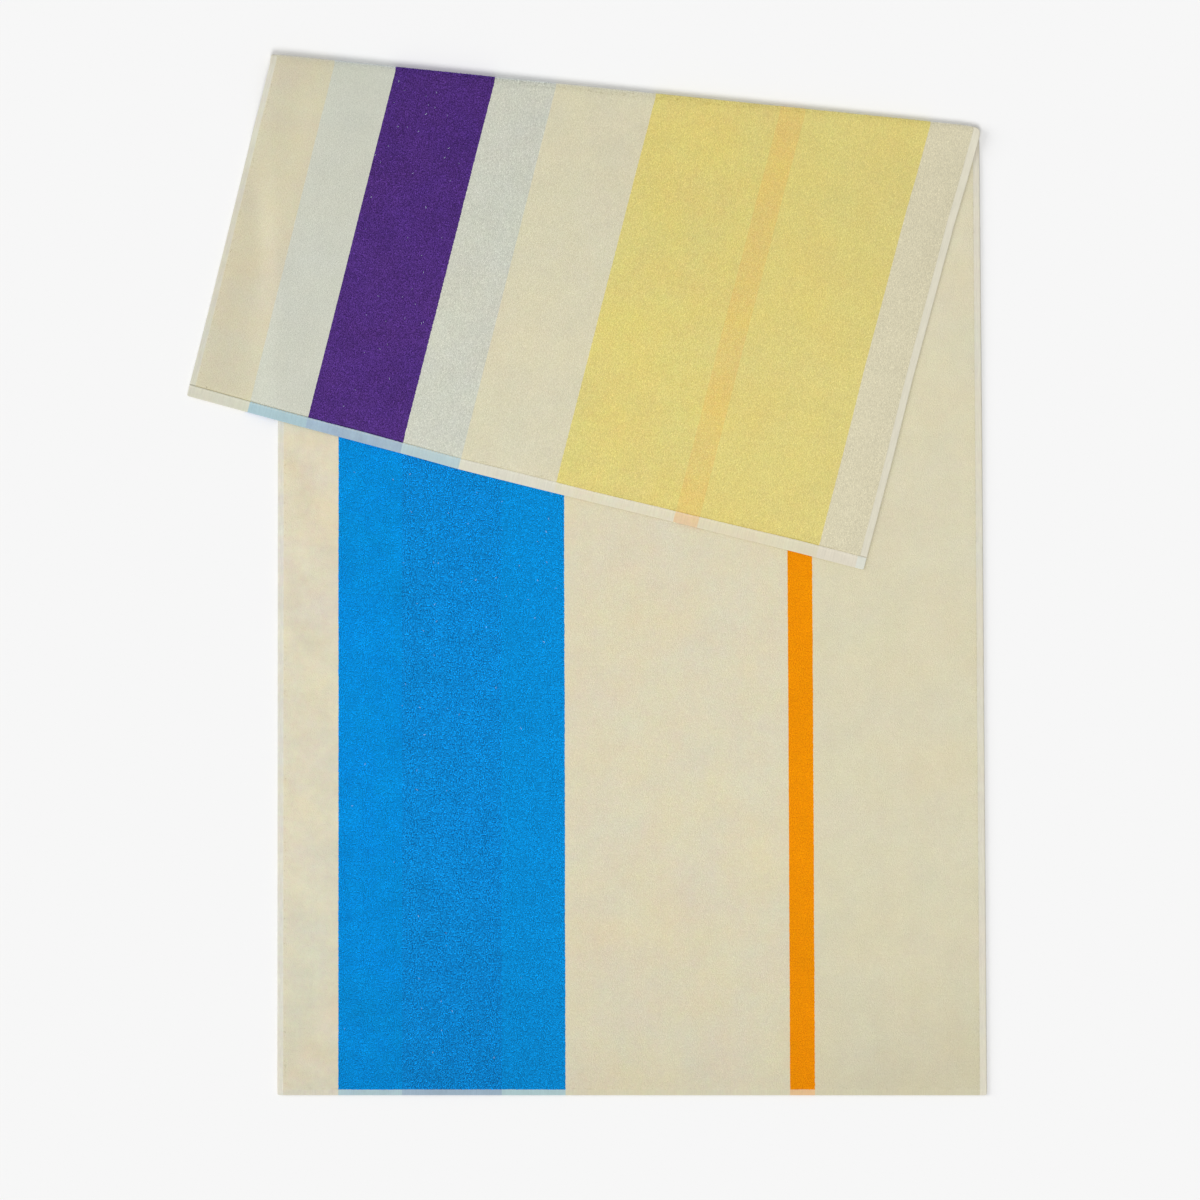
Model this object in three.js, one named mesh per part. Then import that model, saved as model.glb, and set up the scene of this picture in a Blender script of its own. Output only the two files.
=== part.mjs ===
// A cotton bath towel, 700 x 1400 mm, lying face up with its top end folded over at a slant.
// The turned-over end shows the reverse. It swings to the left, so that one corner hangs past
// the layer below and drops to the surface that the towel lies on.
//
// The towel is one closed sheet. Sizes are in millimetres. X runs across the towel, Y along it
// towards the fold, and Z is up from the surface. The origin is under the middle of the towel.

import * as THREE from 'three';

const { lerp, smoothstep, clamp } = THREE.MathUtils;

// The cloth

const CLOTH_WIDTH = 700;
const THICKNESS = 3;
const LAYER_GAP = 2;

// A hem is woven flat, without pile, so it is thinner. Each edge is rounded off.
const SIDE_HEM = 7;
const FACE_END_HEM = 5.5;
const REVERSE_END_HEM = 11.5;
const HEM_SHARE = 0.85;
const EDGE_SHARE = 0.65;
const EDGE_ROUNDING = 1;
const CORNER_STEP = 2.5;
const PILE_STEP = 3;

// The outline in plan, as lines from the left edge to the right edge

const OUTLINE = {
  lowerHem: { left: [-306.8, -516.7], right: [398, -516.8] },
  lowerMiddle: { left: [-306.2, 150], right: [393, 150] },
  fold: { left: [-313.4, 517.3], right: [391.2, 445.2] },
  upperHem: { left: [-396.7, 178], right: [275.4, 5] },
};

// The hem of the turned-over end bows outwards, most of all left of its middle.
const HEM_BOW = [
  { across: 0, out: 0 },
  { across: 0.15, out: 1.4 },
  { across: 0.4, out: 3.4 },
  { across: 0.6, out: 2.1 },
  { across: 0.8, out: 0.4 },
  { across: 1, out: 0 },
];

// The fold stands a little open, more so at its left end, and the layers close up behind it.
// Its two ends are rounded off, and towards the right one it droops a little.
const FOLD_OPENING = [
  { across: 0, gap: 4.4 },
  { across: 0.5, gap: 2.6 },
  { across: 1, gap: 1.2 },
];
const FOLD_EASING = 60;
const FOLD_CORNER_RADIUS = { left: 2.2, right: 5 };
const FOLD_DROOP = 0.8;
const FOLD_DROOP_LENGTH = 22;

// The overhanging corner drops in a soft curve, which starts a little before the edge below and
// is longer in some places than in others.
const DROP_START = -4;
const DROP_LENGTHS = [
  { fromFold: 0, length: 44 },
  { fromFold: 55, length: 40 },
  { fromFold: 100, length: 32 },
  { fromFold: 155, length: 24 },
  { fromFold: 215, length: 20 },
  { fromFold: 270, length: 36 },
  { fromFold: 350, length: 40 },
];

// How finely the sheet is divided

const DROP_STEPS = 6;
const DROP_COLUMN_SPACING = 2;
const MIDDLE_COLUMNS = 13;
const LOWER_ROWS = 8;
const TURN_STEPS = 8;

// The upper layer's rows, as distances from the fold along the left edge
const UPPER_ROWS = [10, 24, 42, 60, 78, 96, 120, 160, 210, 265];

const countTo = (count) => Array.from({ length: count + 1 }, (_, index) => index);

// The value of a table's column where its key has some value, between the two nearest rows
function readTable(table, key, value, column) {
  const inside = clamp(value, table[0][key], table.at(-1)[key]);
  const above = Math.max(1, table.findIndex((row) => row[key] >= inside));
  const low = table[above - 1];
  const high = table[above];
  return lerp(low[column], high[column], (inside - low[key]) / (high[key] - low[key]));
}

function pointOn(line, across) {
  const left = new THREE.Vector2(...line.left);
  const right = new THREE.Vector2(...line.right);
  return left.lerp(right, across);
}

// How far a quarter circle falls back, at a distance from where it ends
function roundedEnd(distance, radius) {
  const share = clamp(1 - distance / radius, 0, 1);
  return radius * (1 - Math.sqrt(1 - share * share));
}

// The steps in from an edge: its rounding, its flat hem and the rise to the full pile. The step
// in the hem lets the fold's corners turn.
function hemSteps(depth) {
  return [
    { inset: 0, share: EDGE_SHARE },
    { inset: EDGE_ROUNDING, share: HEM_SHARE },
    { inset: CORNER_STEP, share: HEM_SHARE },
    { inset: depth, share: HEM_SHARE },
    { inset: depth + PILE_STEP, share: 1 },
  ];
}

// The fold: its outer edge is the outline's fold line, and its axis lies inside that

const foldStart = new THREE.Vector2(...OUTLINE.fold.left);
const foldEnd = new THREE.Vector2(...OUTLINE.fold.right);
const foldDirection = foldEnd.clone().sub(foldStart).normalize();
const foldOutward = new THREE.Vector2(-foldDirection.y, foldDirection.x);

function foldGap(across) {
  return readTable(FOLD_OPENING, 'across', across, 'gap');
}

function foldAxis(across) {
  const fromLeft = across * CLOTH_WIDTH;
  const fromRight = CLOTH_WIDTH - fromLeft;
  const corners = roundedEnd(fromLeft, FOLD_CORNER_RADIUS.left)
    + roundedEnd(fromRight, FOLD_CORNER_RADIUS.right);
  const droop = FOLD_DROOP * (1 - smoothstep(fromRight, 0, FOLD_DROOP_LENGTH));
  const outerRadius = THICKNESS + foldGap(across) / 2;
  const inwards = outerRadius + corners + droop;
  return pointOn(OUTLINE.fold, across).addScaledVector(foldOutward, -inwards);
}

// The lower layer's left edge, as its X at a given Y
function lowerLeftEdge(y) {
  const corners = [
    pointOn(OUTLINE.lowerHem, 0),
    pointOn(OUTLINE.lowerMiddle, 0),
    foldAxis(FOLD_CORNER_RADIUS.left / CLOTH_WIDTH),
  ];
  const [low, high] = y < corners[1].y ? corners.slice(0, 2) : corners.slice(1);
  return lerp(low.x, high.x, clamp((y - low.y) / (high.y - low.y), 0, 1));
}

// How much of the layers' height is left where the upper layer hangs past the lower one
function dropShare(plan, dropLength) {
  const pastEdge = lowerLeftEdge(plan.y) - plan.x;
  return 1 - smoothstep(pastEdge, DROP_START, DROP_START + dropLength);
}

// Columns run along the towel. Those of the drop keep beside the lower layer's edge, and
// bunch together where that edge is close to the upper layer's own.
function columns(overhang, dropLength) {
  const side = hemSteps(SIDE_HEM);
  const left = side.map(({ inset, share }) => ({ place: inset, share }));
  const right = side.map(({ inset, share }) => ({ place: CLOTH_WIDTH - inset, share })).reverse();
  const dropEnd = left.at(-1).place;
  const drop = countTo(DROP_STEPS).map((step) => {
    const pastEdge = DROP_START + dropLength * (1 - step / DROP_STEPS);
    const nearest = dropEnd + DROP_COLUMN_SPACING * (step + 1);
    return { place: Math.max(overhang - pastEdge, nearest), share: 1 };
  });
  const middle = countTo(MIDDLE_COLUMNS).slice(1, -1).map((step) => ({
    place: lerp(drop.at(-1).place, right[0].place, step / MIDDLE_COLUMNS),
    share: 1,
  }));
  return [...left, ...drop, ...middle, ...right].map(({ place, share }) => ({
    across: place / CLOTH_WIDTH,
    share,
  }));
}

// Each row holds, for each column, a point on the reverse side and a point on the face side.

const at = (plan, z) => new THREE.Vector3(plan.x, plan.y, z);

function lowerRow(planOf, rowShare) {
  return columns(0, 0).map(({ across, share }) => {
    const plan = planOf(across);
    return { reverse: at(plan, 0), face: at(plan, THICKNESS * Math.min(share, rowShare)) };
  });
}

function foldRow(turn) {
  return columns(0, 0).map(({ across, share }) => {
    const thickness = THICKNESS * share;
    const outerRadius = (THICKNESS + foldGap(across) + thickness) / 2;
    const pointAt = (radius) => at(
      foldAxis(across).addScaledVector(foldOutward, radius * Math.sin(turn)),
      outerRadius - radius * Math.cos(turn),
    );
    return { reverse: pointAt(outerRadius), face: pointAt(outerRadius - thickness) };
  });
}

function upperRow(planOf, rowShare) {
  const leftEnd = planOf(0);
  const pastEdge = Math.max(0, lowerLeftEdge(leftEnd.y) - leftEnd.x);
  const overhang = CLOTH_WIDTH * pastEdge / (planOf(1).x - leftEnd.x);
  const dropLengthAt = (fromFold) => readTable(DROP_LENGTHS, 'fromFold', fromFold, 'length');
  const leftDrop = dropLengthAt(leftEnd.distanceTo(foldAxis(0)));
  return columns(overhang, leftDrop).map(({ across, share }) => {
    const plan = planOf(across);
    const fromFold = plan.distanceTo(foldAxis(across));
    const gap = lerp(foldGap(across), LAYER_GAP, smoothstep(fromFold, 0, FOLD_EASING));
    const under = (THICKNESS + gap) * dropShare(plan, dropLengthAt(fromFold));
    const thickness = THICKNESS * Math.min(share, rowShare);
    return { reverse: at(plan, under + thickness), face: at(plan, under) };
  });
}

function lowerRows() {
  const hem = hemSteps(FACE_END_HEM).map(({ inset, share }) => lowerRow((across) => {
    const end = pointOn(OUTLINE.lowerHem, across);
    const along = pointOn(OUTLINE.lowerMiddle, across).sub(end).setLength(inset);
    return end.add(along);
  }, share));
  const halves = [
    (across) => [pointOn(OUTLINE.lowerHem, across), pointOn(OUTLINE.lowerMiddle, across)],
    (across) => [pointOn(OUTLINE.lowerMiddle, across), foldAxis(across)],
  ];
  const rest = halves.flatMap((half) => countTo(LOWER_ROWS / 2).slice(1).map((step) => (
    lowerRow((across) => {
      const [start, end] = half(across);
      return start.lerp(end, step / (LOWER_ROWS / 2));
    }, 1)
  )));
  return [...hem, ...rest];
}

function turnedRows() {
  return countTo(TURN_STEPS).slice(1).map((step) => foldRow(Math.PI * step / TURN_STEPS));
}

function upperHemPoint(across) {
  const end = pointOn(OUTLINE.upperHem, across);
  const outward = end.clone().sub(foldAxis(across)).normalize();
  return end.addScaledVector(outward, readTable(HEM_BOW, 'across', across, 'out'));
}

function upperRows() {
  const leftLength = upperHemPoint(0).distanceTo(foldAxis(0));
  const rest = UPPER_ROWS.map((distance) => upperRow((across) => (
    foldAxis(across).lerp(upperHemPoint(across), distance / leftLength)
  ), 1));
  const hem = hemSteps(REVERSE_END_HEM).reverse().map(({ inset, share }) => upperRow((across) => {
    const end = upperHemPoint(across);
    return end.add(foldAxis(across).sub(end).setLength(inset));
  }, share));
  return [...rest, ...hem];
}

// The rows become one closed sheet: the reverse, the face, and a wall round the four edges.
function sheetGeometry(rows) {
  const rowCount = rows.length;
  const columnCount = rows[0].length;
  const positions = ['reverse', 'face'].flatMap((side) => (
    rows.flatMap((row) => row.flatMap((point) => point[side].toArray()))
  ));
  const reverse = (row, column) => row * columnCount + column;
  const face = (row, column) => (rowCount + row) * columnCount + column;
  const triangles = [];
  const quad = (a, b, c, d) => triangles.push(a, b, c, a, c, d);
  for (let row = 0; row < rowCount - 1; row += 1) {
    for (let column = 0; column < columnCount - 1; column += 1) {
      quad(reverse(row, column), reverse(row + 1, column),
        reverse(row + 1, column + 1), reverse(row, column + 1));
      quad(face(row, column), face(row, column + 1),
        face(row + 1, column + 1), face(row + 1, column));
    }
  }
  const last = { row: rowCount - 1, column: columnCount - 1 };
  for (let row = 0; row < last.row; row += 1) {
    quad(reverse(row, 0), face(row, 0), face(row + 1, 0), reverse(row + 1, 0));
    quad(reverse(row, last.column), reverse(row + 1, last.column),
      face(row + 1, last.column), face(row, last.column));
  }
  for (let column = 0; column < last.column; column += 1) {
    quad(reverse(0, column), reverse(0, column + 1), face(0, column + 1), face(0, column));
    quad(reverse(last.row, column), face(last.row, column),
      face(last.row, column + 1), reverse(last.row, column + 1));
  }
  const geometry = new THREE.BufferGeometry();
  geometry.setAttribute('position', new THREE.Float32BufferAttribute(positions, 3));
  geometry.setIndex(triangles);
  geometry.computeVertexNormals();
  return geometry;
}

const cotton = new THREE.MeshStandardMaterial({ color: 0xddd4b7, roughness: 0.95, metalness: 0 });

const towel = new THREE.Mesh(sheetGeometry([...lowerRows(), ...turnedRows(), ...upperRows()]), cotton);
towel.name = 'towel';

const model = new THREE.Group();
model.add(towel);

export default model;
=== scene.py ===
# %% [markdown]
# # A cotton bath towel, folded over at a slant
#
# The towel is one length of terry cloth, 700 by 1400 mm. It lies face up, and its top end is
# folded over, so that the reverse of that end shows. The face has broad stripes of blue and
# orange on cream. The reverse shows the same stripes in other colours, because each stripe is
# woven from two sets of pile yarn that change sides.
#
# This lesson makes, in this order: the camera, the floor and the light, the folded sheet, its
# yarn and weave as materials, and the loops and stitches that stand up from it. Lengths are in
# metres. X runs across the towel, Y along it towards the fold, and Z is up from the floor.

# %% Load the frame
import math

import bpy
import numpy as np
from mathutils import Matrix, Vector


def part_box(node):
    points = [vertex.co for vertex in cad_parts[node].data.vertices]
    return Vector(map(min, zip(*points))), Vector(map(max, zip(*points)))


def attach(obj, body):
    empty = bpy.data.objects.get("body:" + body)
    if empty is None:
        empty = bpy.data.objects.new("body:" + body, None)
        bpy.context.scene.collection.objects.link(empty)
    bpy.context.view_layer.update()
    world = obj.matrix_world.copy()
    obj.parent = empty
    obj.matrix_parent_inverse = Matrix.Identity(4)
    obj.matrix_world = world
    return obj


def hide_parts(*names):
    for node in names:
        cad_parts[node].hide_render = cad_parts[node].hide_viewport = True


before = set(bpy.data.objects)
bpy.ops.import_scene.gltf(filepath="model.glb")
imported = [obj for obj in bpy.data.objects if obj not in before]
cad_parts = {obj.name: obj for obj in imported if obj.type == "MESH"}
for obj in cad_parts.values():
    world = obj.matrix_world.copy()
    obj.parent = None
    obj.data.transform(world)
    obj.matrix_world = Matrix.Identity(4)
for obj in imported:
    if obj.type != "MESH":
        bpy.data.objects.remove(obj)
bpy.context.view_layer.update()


def table(columns, *rows):
    """A short table as a list of its rows, each with its values by column."""
    return [dict(zip(columns.split(), row, strict=True)) for row in rows]


# %% [markdown]
# ## The camera
#
# The towel is seen from straight above. A short lens close by would make its edges spread, so a
# long one hangs far away and keeps them parallel. The distance follows from the lens and from
# the width that the picture takes in. A camera that isn't turned looks down, with Y up the
# picture.

# %% The camera
MM = 0.001
LENS = 280
SENSOR = 36
PICTURE_WIDTH = 1191.6 * MM
PICTURE_CENTRE = (13.7 * MM, -24.9 * MM)

middle_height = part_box("towel")[1].z / 2
camera_height = middle_height + PICTURE_WIDTH * LENS / SENSOR
bpy.ops.object.camera_add(location=(*PICTURE_CENTRE, camera_height), rotation=(0, 0, 0))
camera = bpy.context.object
camera.name = "camera"
camera.data.lens = LENS
camera.data.sensor_width = SENSOR
bpy.context.scene.camera = camera
print(f"The camera hangs {camera_height:.2f} m up")

# %% [markdown]
# ## Helpers for materials
#
# A material is a net of nodes. It could be wired by hand in the shader editor, but code is
# easier to read again and to change. What comes out of a node can be added, subtracted,
# multiplied and divided like a plain number, and each sum is one more Math node. So the recipes
# below read like formulas.

# %% Node helpers
class Out:
    """What comes out of a node. A sum with it is a Math node."""

    def __init__(self, socket):
        self.socket = socket
        self.tree = socket.id_data

    def math(self, operation, *others):
        numbers = dict(enumerate((self, *others)))
        return add(self.tree, "Math", numbers, operation=operation)["Value"]

    def __add__(self, other):
        return self.math("ADD", other)

    def __sub__(self, other):
        return self.math("SUBTRACT", other)

    def __rsub__(self, number):
        return add(self.tree, "Math", {0: number, 1: self}, operation="SUBTRACT")["Value"]

    def __mul__(self, other):
        return self.math("MULTIPLY", other)

    def __truediv__(self, other):
        return self.math("DIVIDE", other)


def feed(socket, value):
    """Gives a socket a plain value, or links what comes out of another node to it."""
    if isinstance(value, Out):
        value.tree.links.new(value.socket, socket)
    else:
        socket.default_value = value


def add(tree, kind, inputs=None, **settings):
    """A new node with its settings and its inputs. Gives what comes out of it, by name."""
    node = tree.nodes.new("ShaderNode" + kind)
    for key, value in settings.items():
        setattr(node, key, value)
    for key, value in (inputs or {}).items():
        feed(node.inputs[key], value)
    return {socket.name: Out(socket) for socket in node.outputs}


def new_material(name):
    material = bpy.data.materials.new(name)
    material.use_nodes = True
    return material


def finish_shader(material, inputs):
    for name, value in inputs.items():
        feed(material.node_tree.nodes["Principled BSDF"].inputs[name], value)


print("Materials can now be written as formulas")

# %% [markdown]
# ## The floor and the light
#
# The towel lies on a plain pale floor that reaches far past the picture. Half of the light comes
# evenly from all round, as from white walls. The rest comes from two lamps. Small ones would
# cast hard shadows, so these are big and soft. The main one hangs over the towel's open end, so
# that the fold throws a short shadow behind it and the open hems throw none. A weaker and wider
# one stands low on the left, and gives the right-hand edges their faint shadow.
#
# The world is dimmer to the cloth than to the camera, which sees a backdrop as pale as the
# floor. The colours are shown as they are, with no film curve.

# %% The floor and the light
FLOOR_SIZE = 60
FLOOR_DROP = 0.3 * MM
FLOOR_WHITE = 0.87
WORLD_LIGHT = 0.522
BACKDROP_WHITE = 0.93
LAMPS = table(
    "name strength softness from_upright to_the_left",
    ("main_lamp", 1.36, 27, 33, 8),
    ("left_lamp", 1.19, 40, 61, 96),
)

bpy.ops.mesh.primitive_plane_add(size=FLOOR_SIZE, location=(0, 0, -FLOOR_DROP))
floor = bpy.context.object
floor.name = "floor"
floor_paint = new_material("floor_paint")
finish_shader(floor_paint, {
    "Base Color": (FLOOR_WHITE, FLOOR_WHITE, FLOOR_WHITE, 1), "Roughness": 1, "Specular IOR Level": 0,
})
floor.data.materials.append(floor_paint)

for lamp in LAMPS:
    from_upright, to_the_left = math.radians(lamp["from_upright"]), math.radians(lamp["to_the_left"])
    bpy.ops.object.light_add(type="SUN", rotation=(from_upright, 0, -to_the_left))
    bpy.context.object.name = lamp["name"]
    bpy.context.object.data.energy = lamp["strength"]
    bpy.context.object.data.angle = math.radians(lamp["softness"])

room = bpy.data.worlds.new("pale_room")
room.use_nodes = True
bpy.context.scene.world = room
room_tree = room.node_tree
room_light = room_tree.nodes["Background"]
room_light.inputs["Color"].default_value = (1, 1, 1, 1)
room_light.inputs["Strength"].default_value = WORLD_LIGHT
backdrop = add(room_tree, "Background", {"Color": (BACKDROP_WHITE, BACKDROP_WHITE, BACKDROP_WHITE, 1)})
seen_by_camera = add(room_tree, "LightPath")["Is Camera Ray"]
lights = {0: seen_by_camera, 1: Out(room_light.outputs["Background"]), 2: backdrop["Background"]}
room_or_backdrop = add(room_tree, "MixShader", lights)["Shader"]
feed(room_tree.nodes["World Output"].inputs["Surface"], room_or_backdrop)

bpy.context.scene.view_settings.view_transform = "Standard"
print("Lamps:", *(lamp["name"] for lamp in LAMPS))

# %% [markdown]
# ## The towel's sizes
#
# A folded towel is easiest to build from its flat cloth. Each point of that has a share of the
# way across, from the left edge to the right, and a share of the way along. The outline says
# where four lines of the flat cloth come to lie: the lower hem, a line half way up, the fold,
# and the hem of the turned-over end. These are the sizes of the CAD model, so that the cloth
# lies where its solid is.

# %% The sizes and the outline
CLOTH_WIDTH = 700 * MM
CLOTH_LENGTH = 1400 * MM
THICKNESS = 3 * MM
LAYER_GAP = 2 * MM

# Each line's left and right end, in millimetres
OUTLINE = {
    "lower hem": ((-306.8, -516.7), (398, -516.8)),
    "lower middle": ((-306.2, 150), (393, 150)),
    "fold": ((-313.4, 517.3), (391.2, 445.2)),
    "upper hem": ((-396.7, 178), (275.4, 5)),
}

# Curves give millimetres at places. The turned-over hem bows outwards, by its share across. Its
# two side edges stray a little from straight lines, by the share of the way from fold to hem.
HEM_BOW = {
    0: 0, 0.15: 1.4, 0.34: 2.5, 0.4: 3.4, 0.5: 2.9, 0.6: 2.1, 0.7: 1.0, 0.8: 0.4, 0.9: -0.2, 1: 0,
}
LEFT_STRAY = {0: -0.9, 0.1: -0.8, 0.2: -0.3, 0.3: -0.4, 0.55: -0.6, 0.75: -0.6, 1: 0}
RIGHT_STRAY = {0: 0.6, 0.1: 0.15, 0.2: -1.2, 0.3: -1.2, 0.55: -1.55, 0.75: -0.15, 1: 0}
STRAY_FADING = 4

# The fold stands a little open, more so at its left end. Its two ends are rounded off, and
# towards the right one it droops a little.
FOLD_OPENING = {0: 4.4, 0.5: 2.6, 1: 1.2}
FOLD_EASING = 60 * MM
FOLD_CORNER_RADIUS = {"left": 2.2 * MM, "right": 5 * MM}
FOLD_DROOP = 0.8 * MM
FOLD_DROOP_LENGTH = 22 * MM

# The overhanging corner drops in a soft curve, which starts a little before the edge below. Its
# length changes with the distance from the fold, both in millimetres.
DROP_START = -4 * MM
DROP_LENGTHS = {0: 44, 55: 40, 100: 32, 155: 24, 215: 20, 270: 36, 350: 40}


def curve(points, place):
    """The value at a place, between a curve's points."""
    return np.interp(place, list(points), list(points.values()))


def ease(value, low, high):
    """Rises smoothly from 0 at low to 1 at high."""
    share = np.clip((value - low) / (high - low), 0, 1)
    return share * share * (3 - 2 * share)


def rounded_end(distance, radius):
    """How far a quarter circle falls back, at a distance from where it ends."""
    share = np.clip(1 - distance / radius, 0, 1)
    return radius * (1 - np.sqrt(1 - share * share))


def point_on(line, across):
    left, right = np.array(OUTLINE[line]) * MM
    return left + np.multiply.outer(across, right - left)


def unit(vectors):
    return vectors / np.linalg.norm(vectors, axis=-1, keepdims=True)


fold_direction = unit(point_on("fold", 1.0) - point_on("fold", 0.0))
fold_outward = np.array([-fold_direction[1], fold_direction[0]])


def fold_gap(across):
    return curve(FOLD_OPENING, across) * MM


def fold_axis(across):
    """The line that the cloth turns round, inside the fold's outer edge."""
    from_right = (1 - across) * CLOTH_WIDTH
    corners = rounded_end(across * CLOTH_WIDTH, FOLD_CORNER_RADIUS["left"])
    corners = corners + rounded_end(from_right, FOLD_CORNER_RADIUS["right"])
    droop = FOLD_DROOP * (1 - ease(from_right, 0, FOLD_DROOP_LENGTH))
    outer_radius = THICKNESS + fold_gap(across) / 2
    inwards = outer_radius + corners + droop
    return point_on("fold", across) - np.multiply.outer(inwards, fold_outward)


def upper_hem_point(across):
    end = point_on("upper hem", across)
    bow = curve(HEM_BOW, across) * MM
    return end + unit(end - fold_axis(across)) * bow[:, None]


def edge_stray(across, from_fold):
    """How far the upper layer's sides stray to the right. from_fold is 0 there and 1 at the hem."""
    left, right = curve(LEFT_STRAY, from_fold), curve(RIGHT_STRAY, from_fold)
    share = (-left * (1 - across) ** STRAY_FADING + right * across ** STRAY_FADING) * MM
    return np.multiply.outer(share, fold_direction)


def lower_left_edge(y):
    """The lower layer's left edge, as its X at a given Y."""
    corners = np.array([
        point_on("lower hem", 0.0),
        point_on("lower middle", 0.0),
        fold_axis(np.array([FOLD_CORNER_RADIUS["left"] / CLOTH_WIDTH]))[0],
    ])
    return np.interp(y, corners[:, 1], corners[:, 0])


def drop_share(plan, from_fold):
    """How much of the layers' height is left where the upper layer hangs past the lower one."""
    past_edge = lower_left_edge(plan[:, 1]) - plan[:, 0]
    return 1 - ease(past_edge, DROP_START, DROP_START + curve(DROP_LENGTHS, from_fold / MM) * MM)


print("The fold runs along", fold_direction.round(3))

# %% [markdown]
# ## The edges of the cloth
#
# Pile can't be woven right up to an edge. The long edges have a narrow flat side hem, and the
# ends are left flat, turned to the reverse and sewn down. Seen in section, such an edge is
# round, then flat and thin, and then the pile rises. On the reverse the sewn hem is deeper, and
# its seam draws a groove, tighter towards the two sides than in the middle.
#
# A bevel would make all edges alike. So each kind has a table of its section from the edge
# inwards, as shares of the full thickness.

# %% The sections of the hems
SIDE_SECTION = {
    "inset_mm": (0, 0.06, 0.22, 1, 2.4, 4.8, 6.2, 8.4, 13),
    "share": (0.66, 0.76, 0.83, 0.87, 0.87, 0.87, 0.91, 0.96, 1),
}
FACE_END_SECTION = {
    "inset_mm": (0, 0.06, 0.22, 1, 4.4, 5.2, 6.4, 8),
    "share": (0.64, 0.74, 0.8, 0.83, 0.82, 0.85, 0.96, 1),
}
REVERSE_END_SECTION = {
    "inset_mm": (0, 0.06, 0.22, 1, 4, 7.5, 9, 10.6, 11.2, 11.5, 11.8, 12.1, 12.5, 13.6, 16),
    "share": (0.64, 0.75, 0.82, 0.85, 0.84, 0.86, 0.9, 0.92, 0.91, 0.9, 0.9, 0.9, 0.92, 0.96, 1),
    "groove": (0, 0, 0, 0, 0, 0, 0, 0, 0.1, 0.8, 1, 0.8, 0.1, 0, 0),
}
GROOVE_DEPTH_SHARE = 0.42
GROOVE_PULL = {0: 1, 0.24: 1, 0.4: 0.6, 0.5: 0.35, 0.65: 0.4, 0.75: 0.55, 0.84: 0.6, 0.93: 1, 1: 1}

# How deep the sewn hem is, in millimetres, because it wasn't turned in quite evenly
SEWN_HEM_DEPTH = {
    0: 11.8, 0.05: 11.6, 0.14: 11.1, 0.25: 11.5, 0.34: 11.1, 0.42: 11.3,
    0.5: 11.6, 0.6: 11.1, 0.7: 11.4, 0.8: 12.1, 0.9: 12.9, 1: 12.9,
}
EVEN_HEM_DEPTH = 11.8

COLUMN_SPACING = 5.2 * MM
ROW_SPACING = 5 * MM


def spaced(start, end, spacing):
    """Places from start to end, both left out, about a spacing apart."""
    steps = max(1, round((end - start) / spacing))
    return np.linspace(start, end, steps + 1)[1:-1]


side_inset = np.array(SIDE_SECTION["inset_mm"]) * MM
side_share = np.array(SIDE_SECTION["share"])
column_places = np.concatenate([
    side_inset,
    spaced(side_inset[-1], CLOTH_WIDTH - side_inset[-1], COLUMN_SPACING),
    CLOTH_WIDTH - side_inset[::-1],
])
from_side = np.minimum(column_places, CLOTH_WIDTH - column_places)
column_share = np.interp(from_side, side_inset, side_share)
column_across = column_places / CLOTH_WIDTH
print(len(column_places), "columns of the cloth's mesh")

# %% [markdown]
# ## Rounded corners
#
# No corner of a towel is sharp. A bevel would break the regular rows of the mesh, so the points
# near a corner are moved instead. Each is known by its distances from the side and from the end.
# The formula carries a square corner onto a quarter circle, and does nothing further in.

# %% Rounding the corners
CORNER_RADIUS = {"lower hem": 2 * MM, "upper hem": 1.6 * MM}


def round_corners(line, inset):
    """Shares across and insets of one row, moved so that the corners at its ends are round."""
    radius = CORNER_RADIUS[line]
    x = np.clip(1 - from_side / radius, 0, 1)
    y = np.clip(1 - inset / radius, 0, 1)
    moved_in = radius * x * (1 - np.sqrt(1 - y * y / 2))
    moved_up = radius * y * (1 - np.sqrt(1 - x * x / 2))
    towards_middle = np.where(column_places < CLOTH_WIDTH / 2, 1, -1)
    place = column_places + towards_middle * moved_in
    if line == "upper hem":
        inset = inset * curve(SEWN_HEM_DEPTH, column_across) / EVEN_HEM_DEPTH
    return place / CLOTH_WIDTH, inset + moved_up


print("The corners have radii of", *(radius / MM for radius in CORNER_RADIUS.values()), "mm")

# %% [markdown]
# ## Soft troughs and ridges
#
# A towel that has been folded and laid out again is never quite flat. Its creases could be
# sculpted, but a table is easier to change. Each row is one soft crease, from one point to
# another, with its half width and its height in millimetres, below zero for a trough. Wide rows
# are places where the pile is fuller.

# %% The creases
# The strength of a crease is its height.
BAND_COLUMNS = "start end half_width strength"
CREASES = {
    "lower": table(
        BAND_COLUMNS,
        ((34, -12), (134, 4), 6, -0.16),
        ((282, -250), (392, -254), 9, 0.14),
        ((286, -438), (378, -446), 7, -0.14),
        ((-304, -430), (-262, -486), 5, 0.12),
        ((70, -120), (98, -112), 14, 0.12),
        ((-240, -190), (-60, -230), 30, 0.2),
        ((-210, -400), (60, -350), 42, 0.22),
        ((100, -300), (260, -160), 50, -0.2),
        ((330, 60), (352, 300), 24, 0.2),
        ((120, -470), (330, -490), 26, -0.16),
    ),
    "upper": table(
        BAND_COLUMNS,
        ((150, 262), (274, 226), 6, 0.14),
        ((112, 388), (244, 372), 8, 0.12),
        ((-270, 300), (-250, 420), 26, -0.12),
        ((-200, 250), (-20, 300), 38, -0.2),
        ((40, 160), (190, 110), 30, 0.22),
        ((230, 190), (300, 330), 28, -0.16),
    ),
}


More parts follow.
